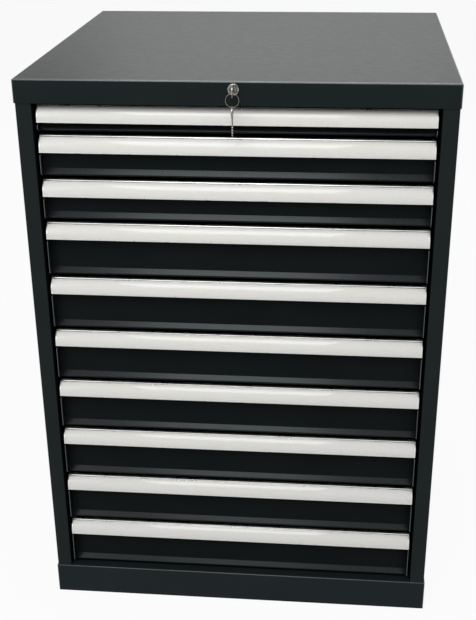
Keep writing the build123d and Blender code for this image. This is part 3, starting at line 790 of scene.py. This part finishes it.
# the top's strip just behind the front edge is painted lighter, a painted highlight
cover = {
    "half": 358.5, "near": -347.25, "far": 377.75, "low": 964.5, "high": 1003.0, "corner": 2.0, "wall": 1.5,
    "lockHeight": 991.0, "lockHole": 6.6, "highlightBand": 3.0, "edgeFacing": 0.5, "hollowPast": 5, "borePast": 3,
}
plinth = {
    "half": 358.5, "near": -346.45, "far": 376.95, "high": 60.0, "corner": 2.0, "topFold": 1.6, "wall": 2.0,
    "topFlange": 40.0, "footFlange": 30.0, "cutPast": 3, "cutLap": 1, "topSlack": 0.1,
}
foldFacing = 0.985


def slab(half, near, far, low, high):  # squared block drawn as an outline, the start of a folded pan
    corners = [(-half, near), (half, near), (half, far), (-half, far)]
    return drawSection(inMetres(corners), "Z", low * mm, high * mm)


def roundOff(piece, width, picks):  # bevels the edges that a test picks by their ends
    takeUp(piece)
    weights = piece.data.attributes.new("bevel_weight_edge", "FLOAT", "EDGE")
    for edge in piece.data.edges:
        a, b = (piece.data.vertices[index].co for index in edge.vertices)
        weights.data[edge.index].value = 1.0 if picks(a, b) else 0.0
    bevel = piece.modifiers.new("folds", "BEVEL")
    bevel.width = width * mm
    bevel.segments = 4
    bevel.limit_method = "WEIGHT"
    bpy.ops.object.modifier_apply(modifier=bevel.name)
    piece.data.attributes.remove(piece.data.attributes["bevel_weight_edge"])
    return piece


def isFold(face):
    return max(abs(value) for value in face.normal) < foldFacing


def makeCover(values):
    pan = slab(values["half"], values["near"], values["far"], values["low"], values["high"])
    middle = (values["low"] + values["high"]) / 2 * mm
    highlightBand = (values["near"] + values["highlightBand"]) * mm
    roundOff(pan, values["corner"], lambda a, b: a.z > middle or b.z > middle)
    editAll(pan)
    bpy.ops.mesh.bisect(plane_co=(0, highlightBand, 0), plane_no=(0, 1, 0))
    endEdit()
    dress(pan, "cover")
    # the rounded folds take the lighter fold coat, a painted highlight
    dressFolds(pan, isFold)
    # the top's front strip takes the much lighter edge coat, a painted highlight
    dressFolds(pan, lambda face: face.normal.z > values["edgeFacing"] and face.center.y < highlightBand, "edge")
    wall, hole = values["wall"], values["lockHole"]
    hollow = slab(values["half"] - wall, values["near"] + wall, values["far"] - wall,
                  values["low"] - values["hollowPast"], values["high"] - wall)
    cutOut(pan, dress(hollow, "cover"))
    start, end = values["near"] - values["borePast"], values["near"] + wall + values["borePast"]
    bore = [(start, 0), (start, hole), (end, hole), (end, 0)]
    cutOut(pan, dress(turned(bore, values["lockHeight"], 40), "cover"))
    return settle(pan, "foldedCover", 30)


def makePlinth(values):
    half, near, far, high, wall = (values[key] for key in ("half", "near", "far", "high", "wall"))
    ring = slab(half, near, far, 0, high)
    roundOff(ring, values["corner"], lambda a, b: abs(a.z - b.z) > high / 2 * mm)
    roundOff(ring, values["topFold"], lambda a, b: min(a.z, b.z) > (high - values["topSlack"]) * mm)
    # the plinth's lighter coat is a painted reflection of the floor, and its folds take the lighter fold coat, a
    # painted highlight
    dress(ring, "foot")
    dressFolds(ring, isFold)
    cutOut(ring, dress(slab(half - wall, near + wall, far - wall, wall, high - wall), "foot"))
    top, foot, past, lap = (values[key] for key in ("topFlange", "footFlange", "cutPast", "cutLap"))
    cutOut(ring, dress(slab(half - top, near + top, far - top, high - wall - lap, high + past), "foot"))
    cutOut(ring, dress(slab(half - foot, near + foot, far - foot, -past, wall + lap), "foot"))
    return settle(ring, "plinthRing", 30)


print("stage: side panels, rails and uprights")

side = {
    "opening": 329.25, "out": 356.7, "near": -345.25, "back": 375.75, "return": 30.0, "rear": 25.0,
    "low": 60.0, "high": 1001.5, "wall": 1.5, "bend": 1.0, "bendSteps": 5, "returnSlack": 0.5,
}
rails = {
    "wall": 1.5, "bend": 1.0, "edge": 0.2,
    "front": [(-341.25, 978.2), (-341.25, 961.3), (-317.25, 961.3)], "frontHalf": 329.25,
    "rear": [(348.75, 971.5), (372.75, 971.5), (372.75, 1001.5)], "rearHalf": 354.9,
}


def makeSide(values, across, name):  # folded round the front post and the rear flange
    line = [(values["opening"], values["near"] + values["return"]), (values["opening"], values["near"]),
            (values["out"], values["near"]), (values["out"], values["back"]),
            (values["out"] - values["rear"], values["back"])]
    outline = foldedOutline(line, values["wall"], [values["bend"]] * 3, values["bendSteps"])
    panel = drawSection(inMetres(outline, across), "Z", values["low"] * mm, values["high"] * mm)
    dress(panel, "body")
    inside = (values["near"] + values["return"] + values["returnSlack"]) * mm
    # inner faces of the front return take the near-black coat, painted shade in the gap beside the drawers
    dressFolds(panel, lambda face: face.center.y < inside and face.normal.x * across < -0.5, "return")
    return settle(panel, name, 30)


def makeRails(values):
    pieces = []
    for place in ("front", "rear"):
        outline = foldedOutline(values[place], values["wall"], [values["bend"]])
        half = values[place + "Half"] * mm
        rail = drawSection(inMetres(outline), "X", -half, half)
        # the rails take the near-black coat, painted shade in the gap under the cover
        pieces.append(dress(bevelEdges(rail, values["edge"] * mm, 1, 50), "return"))
    return settle(joinAll(pieces), "tieRails", 30)


upright = {
    "in": 325.0, "out": 355.2, "width": 36.0, "front": -299.25, "rear": 264.55, "low": 61.5, "high": 960.0,
    "wall": 1.5, "bend": 1.0, "slotPitch": 100.0, "slotStart": 110.0, "slots": 9,
    "slotWidth": 5.0, "slotHeight": 12.0, "slotSides": 16, "slotTurn": 0.01, "cutStart": 3, "cutDepth": 7,
}


def slotOutline(values, middle, height):  # upright slot with round ends, no point left between them
    radius = values["slotWidth"] / 2
    straight = values["slotHeight"] / 2 - radius
    points = []
    for index in range(values["slotSides"]):
        angle = math.tau * index / values["slotSides"]
        lift = math.copysign(straight, math.cos(angle + values["slotTurn"]))
        points.append((middle + radius * math.sin(angle), height + lift + radius * math.cos(angle)))
    return points


def makeUprights(values):  # slotted channels that carry the runners, in a near-black coat, painted shade in the gaps
    pieces = []
    for near in (values["front"], values["rear"]):
        far, middle = near + values["width"], near + values["width"] / 2
        line = [(values["out"], far), (values["in"], far), (values["in"], near), (values["out"], near)]
        outline = foldedOutline(line, values["wall"], [values["bend"]] * 2)
        for across in (1, -1):
            channel = drawSection(inMetres(outline, across), "Z", values["low"] * mm, values["high"] * mm)
            start = across * (values["in"] - values["cutStart"]) * mm
            end = start + across * values["cutDepth"] * mm
            heights = [values["slotStart"] + values["slotPitch"] * index for index in range(values["slots"])]
            slots = [inMetres(slotOutline(values, middle, height)) for height in heights]
            holes = [drawSection(slot, "X", start, end) for slot in slots]
            pieces.append(dress(cutOut(channel, joinAll(holes)), "return"))
    return settle(joinAll(pieces), "slottedChannels", 30)


for piece, node in (
    (makeUprights(upright), "slotted_uprights"), (makeCover(cover), "top_cover"),
    (makePlinth(plinth), "plinth"), (makeRails(rails), "top_rails"),
    (makeSide(side, 1, "sideRight"), "right_side_panel"), (makeSide(side, -1, "sideLeft"), "left_side_panel"),
):
    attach(piece, "carcass")
    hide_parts(node)

print("stage: lock and keys")

lock = {
    "height": 991.0, "near": -351.45, "face": -347.25, "back": -321.25, "rim": 9.5, "edge": 1.7, "barrel": 6.5,
    "bore": 4.55, "headBore": 5.65, "headFloor": -349.45, "plug": 4.5, "plugHead": 5.6, "plugNear": -351.25,
    "plugStep": -349.65, "plugBack": -319.75, "keywayHalf": 1.15, "keywayReach": 3.6, "keywayEnd": -323.25,
    "rimFace": [(0.3, 0), (0.05, 0.15), (0, 0.5)], "rimFlat": 0.6, "rimSteps": 6, "rimSeat": (0.5, 0.02, 0.4),
    "plugFace": [(0.12, 0), (0.12, 3.9), (0.3, 4.1), (0.3, 4.5), (0, 4.75), (0, 5.2)],
    "plugEdge": 0.35, "keywayPast": 2,
}
keyShape = {
    "near": -372.75, "length": 48.0, "thickness": 1.9, "bow": 10.5, "hole": 4.0, "holeInset": 5.5, "blade": 3.4,
    "cut": 1.3, "tip": 1.5, "cutStart": 28.0, "cutPitch": 4.5, "cutHalf": 1.4, "cuts": 4, "groove": 0.35,
    "grooveLow": 0.3, "grooveHigh": 1.7, "recess": 0.3, "recessRadius": 8.9, "edge": 0.25, "past": 2,
    "bowSteps": 44, "holeSides": 32, "holePast": 3, "spareDrop": 27.0,
}
keyRing = {
    "height": 977.5, "depth": -367.25, "radius": 10.7, "wire": 0.42, "steps": 56, "sides": 10,
    "gap": 0.7, "notch": 2,
}


def makeRim(values):
    near, edge, rim, bore = values["near"], values["edge"], values["rim"], values["headBore"]
    profile = [(values["headFloor"], bore)]
    profile += [(near + depth, bore + radius) for depth, radius in values["rimFace"]]
    profile.append((near, rim - edge - values["rimFlat"]))
    for index in range(values["rimSteps"] + 1):
        angle = math.pi / 2 * index / values["rimSteps"]
        profile.append((near + edge * (1 - math.cos(angle)), rim - edge + edge * math.sin(angle)))
    skirt, gap, tuck = values["rimSeat"]
    profile += [
        (values["face"] - skirt, rim), (values["face"] - gap, rim - tuck), (values["face"] - gap, values["barrel"]),
        (values["back"], values["barrel"]), (values["back"], values["bore"]), (values["headFloor"], values["bore"]),
    ]
    return settle(turned(profile + profile[:1], values["height"], 64), "lockRim", 32)


def makePlug(values):
    near = values["plugNear"]
    profile = [(near + depth, radius) for depth, radius in values["plugFace"]]
    profile += [
        (near + values["plugEdge"], values["plugHead"]), (values["plugStep"], values["plugHead"]),
        (values["plugStep"], values["plug"]), (values["plugBack"], values["plug"]), (values["plugBack"], 0),
    ]
    plug = turned(profile, values["height"], 56)
    half, reach = values["keywayHalf"], values["keywayReach"]
    start, end = near - values["keywayPast"], values["keywayEnd"]
    low, high = values["height"] - reach, values["height"] + reach
    outline = [(start, low), (end, low), (end, high), (start, high)]
    cutOut(plug, drawSection(inMetres(outline), "X", -half * mm, half * mm))
    return settle(plug, "lockPlugTurned", 32)


def makeKey(values, height):  # bow in front, blade to the back, its cuts below
    near, long, blade, bow = values["near"], values["length"], values["blade"], values["bow"]
    start = math.asin(blade / bow)
    outline = []
    for index in range(values["bowSteps"] + 1):
        angle = -math.pi + start + (math.tau - 2 * start) * index / values["bowSteps"]
        outline.append((near + bow - bow * math.cos(angle), height + bow * math.sin(angle)))
    outline += [(near + long - values["tip"], height + blade), (near + long, height + blade - values["tip"]),
                (near + long, height - blade + values["tip"]), (near + long - values["tip"], height - blade)]
    for index in reversed(range(values["cuts"])):
        place = near + values["cutStart"] + values["cutPitch"] * index
        outline += [(place + values["cutHalf"], height - blade), (place, height - blade + values["cut"]),
                    (place - values["cutHalf"], height - blade)]
    half = values["thickness"] / 2
    key = drawSection(inMetres(outline), "X", -half * mm, half * mm)

    def across(radius, centre, start, end):  # round tool that cuts across the key
        angles = [math.tau * index / values["holeSides"] for index in range(values["holeSides"])]
        ring = [(centre + radius * math.cos(angle), height + radius * math.sin(angle)) for angle in angles]
        return drawSection(inMetres(ring), "X", start * mm, end * mm)

    low, high = height + values["grooveLow"], height + values["grooveHigh"]
    begin, end = near + 2 * bow, near + long + values["past"]
    groove = [(begin, low), (end, low), (end, high), (begin, high)]
    for side in (1, -1):
        out = side * (half + values["past"])
        cutOut(key, across(values["recessRadius"], near + bow, side * (half - values["recess"]), out))
        cutOut(key, drawSection(inMetres(groove), "X", side * (half - values["groove"]) * mm, out * mm))
    cutOut(key, across(values["hole"], near + values["holeInset"], -values["holePast"], values["holePast"]))
    bevelEdges(key, values["edge"] * mm, 2, 50)
    editAll(key)
    bpy.ops.mesh.quads_convert_to_tris(quad_method="BEAUTY", ngon_method="BEAUTY")
    endEdit()
    return settle(key, "keyTurned", 32)


def makeSplitRing(values):
    pieces = []
    height, radius, wire, gap = values["height"], values["radius"], values["wire"], values["gap"] / 2
    for side in (1, -1):
        centre = (radius * mm, (values["depth"] + side * wire) * mm)
        angles = [math.tau * index / values["sides"] for index in range(values["sides"])]
        loop = [(centre[0] + wire * mm * math.cos(angle), centre[1] + wire * mm * math.sin(angle))
                for angle in angles]
        coil = drawLine(loop + loop[:1], "Z", height * mm)
        bpy.ops.mesh.spin(steps=values["steps"], angle=math.tau, center=(0, centre[1], height * mm), axis=(0, 1, 0))
        bpy.ops.mesh.select_all(action="SELECT")
        bpy.ops.mesh.remove_doubles(threshold=0.000005)
        bpy.ops.mesh.select_all(action="SELECT")
        bpy.ops.mesh.normals_make_consistent(inside=False)
        endEdit()
        inner, outer = side * (radius - values["notch"]), side * (radius + values["notch"])
        notch = [(inner, height - gap), (outer, height - gap), (outer, height + gap), (inner, height + gap)]
        reach = values["notch"] * mm
        cutOut(coil, drawSection(inMetres(notch), "Y", centre[1] - reach, centre[1] + reach))
        pieces.append(coil)
    return settle(joinAll(pieces), "splitRing", 40)


keyModel = makeKey(keyShape, lock["height"])
spareModel = copyOf(keyModel, (0, 0, 0), "spareKeyHanging")
editAll(spareModel)
hole = Vector((0, (keyShape["near"] + keyShape["holeInset"]) * mm, lock["height"] * mm))
bpy.ops.transform.rotate(value=math.pi / 2, orient_axis="X", center_override=hole)
bpy.ops.transform.translate(value=(0, 0, -keyShape["spareDrop"] * mm))
endEdit()
settle(spareModel, "spareKeyHanging", 32)
keyModel.name = keyModel.data.name = "keyInLock"
for piece, finish, body, node, slot in (
    (makeRim(lock), "chrome", "carcass", "lock_housing", "lock_chrome"),
    (makePlug(lock), "chrome", "lock_plug", "lock_plug", "lock_chrome"),
    (keyModel, "key", "key", "key", "key_nickel"),
    (spareModel, "key", "spare_key", "spare_key", "key_nickel"),
    (makeSplitRing(keyRing), "key", "key_ring", "key_ring", "key_nickel"),
):
    dress(piece, finish)
    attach(piece, body)
    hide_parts(node)
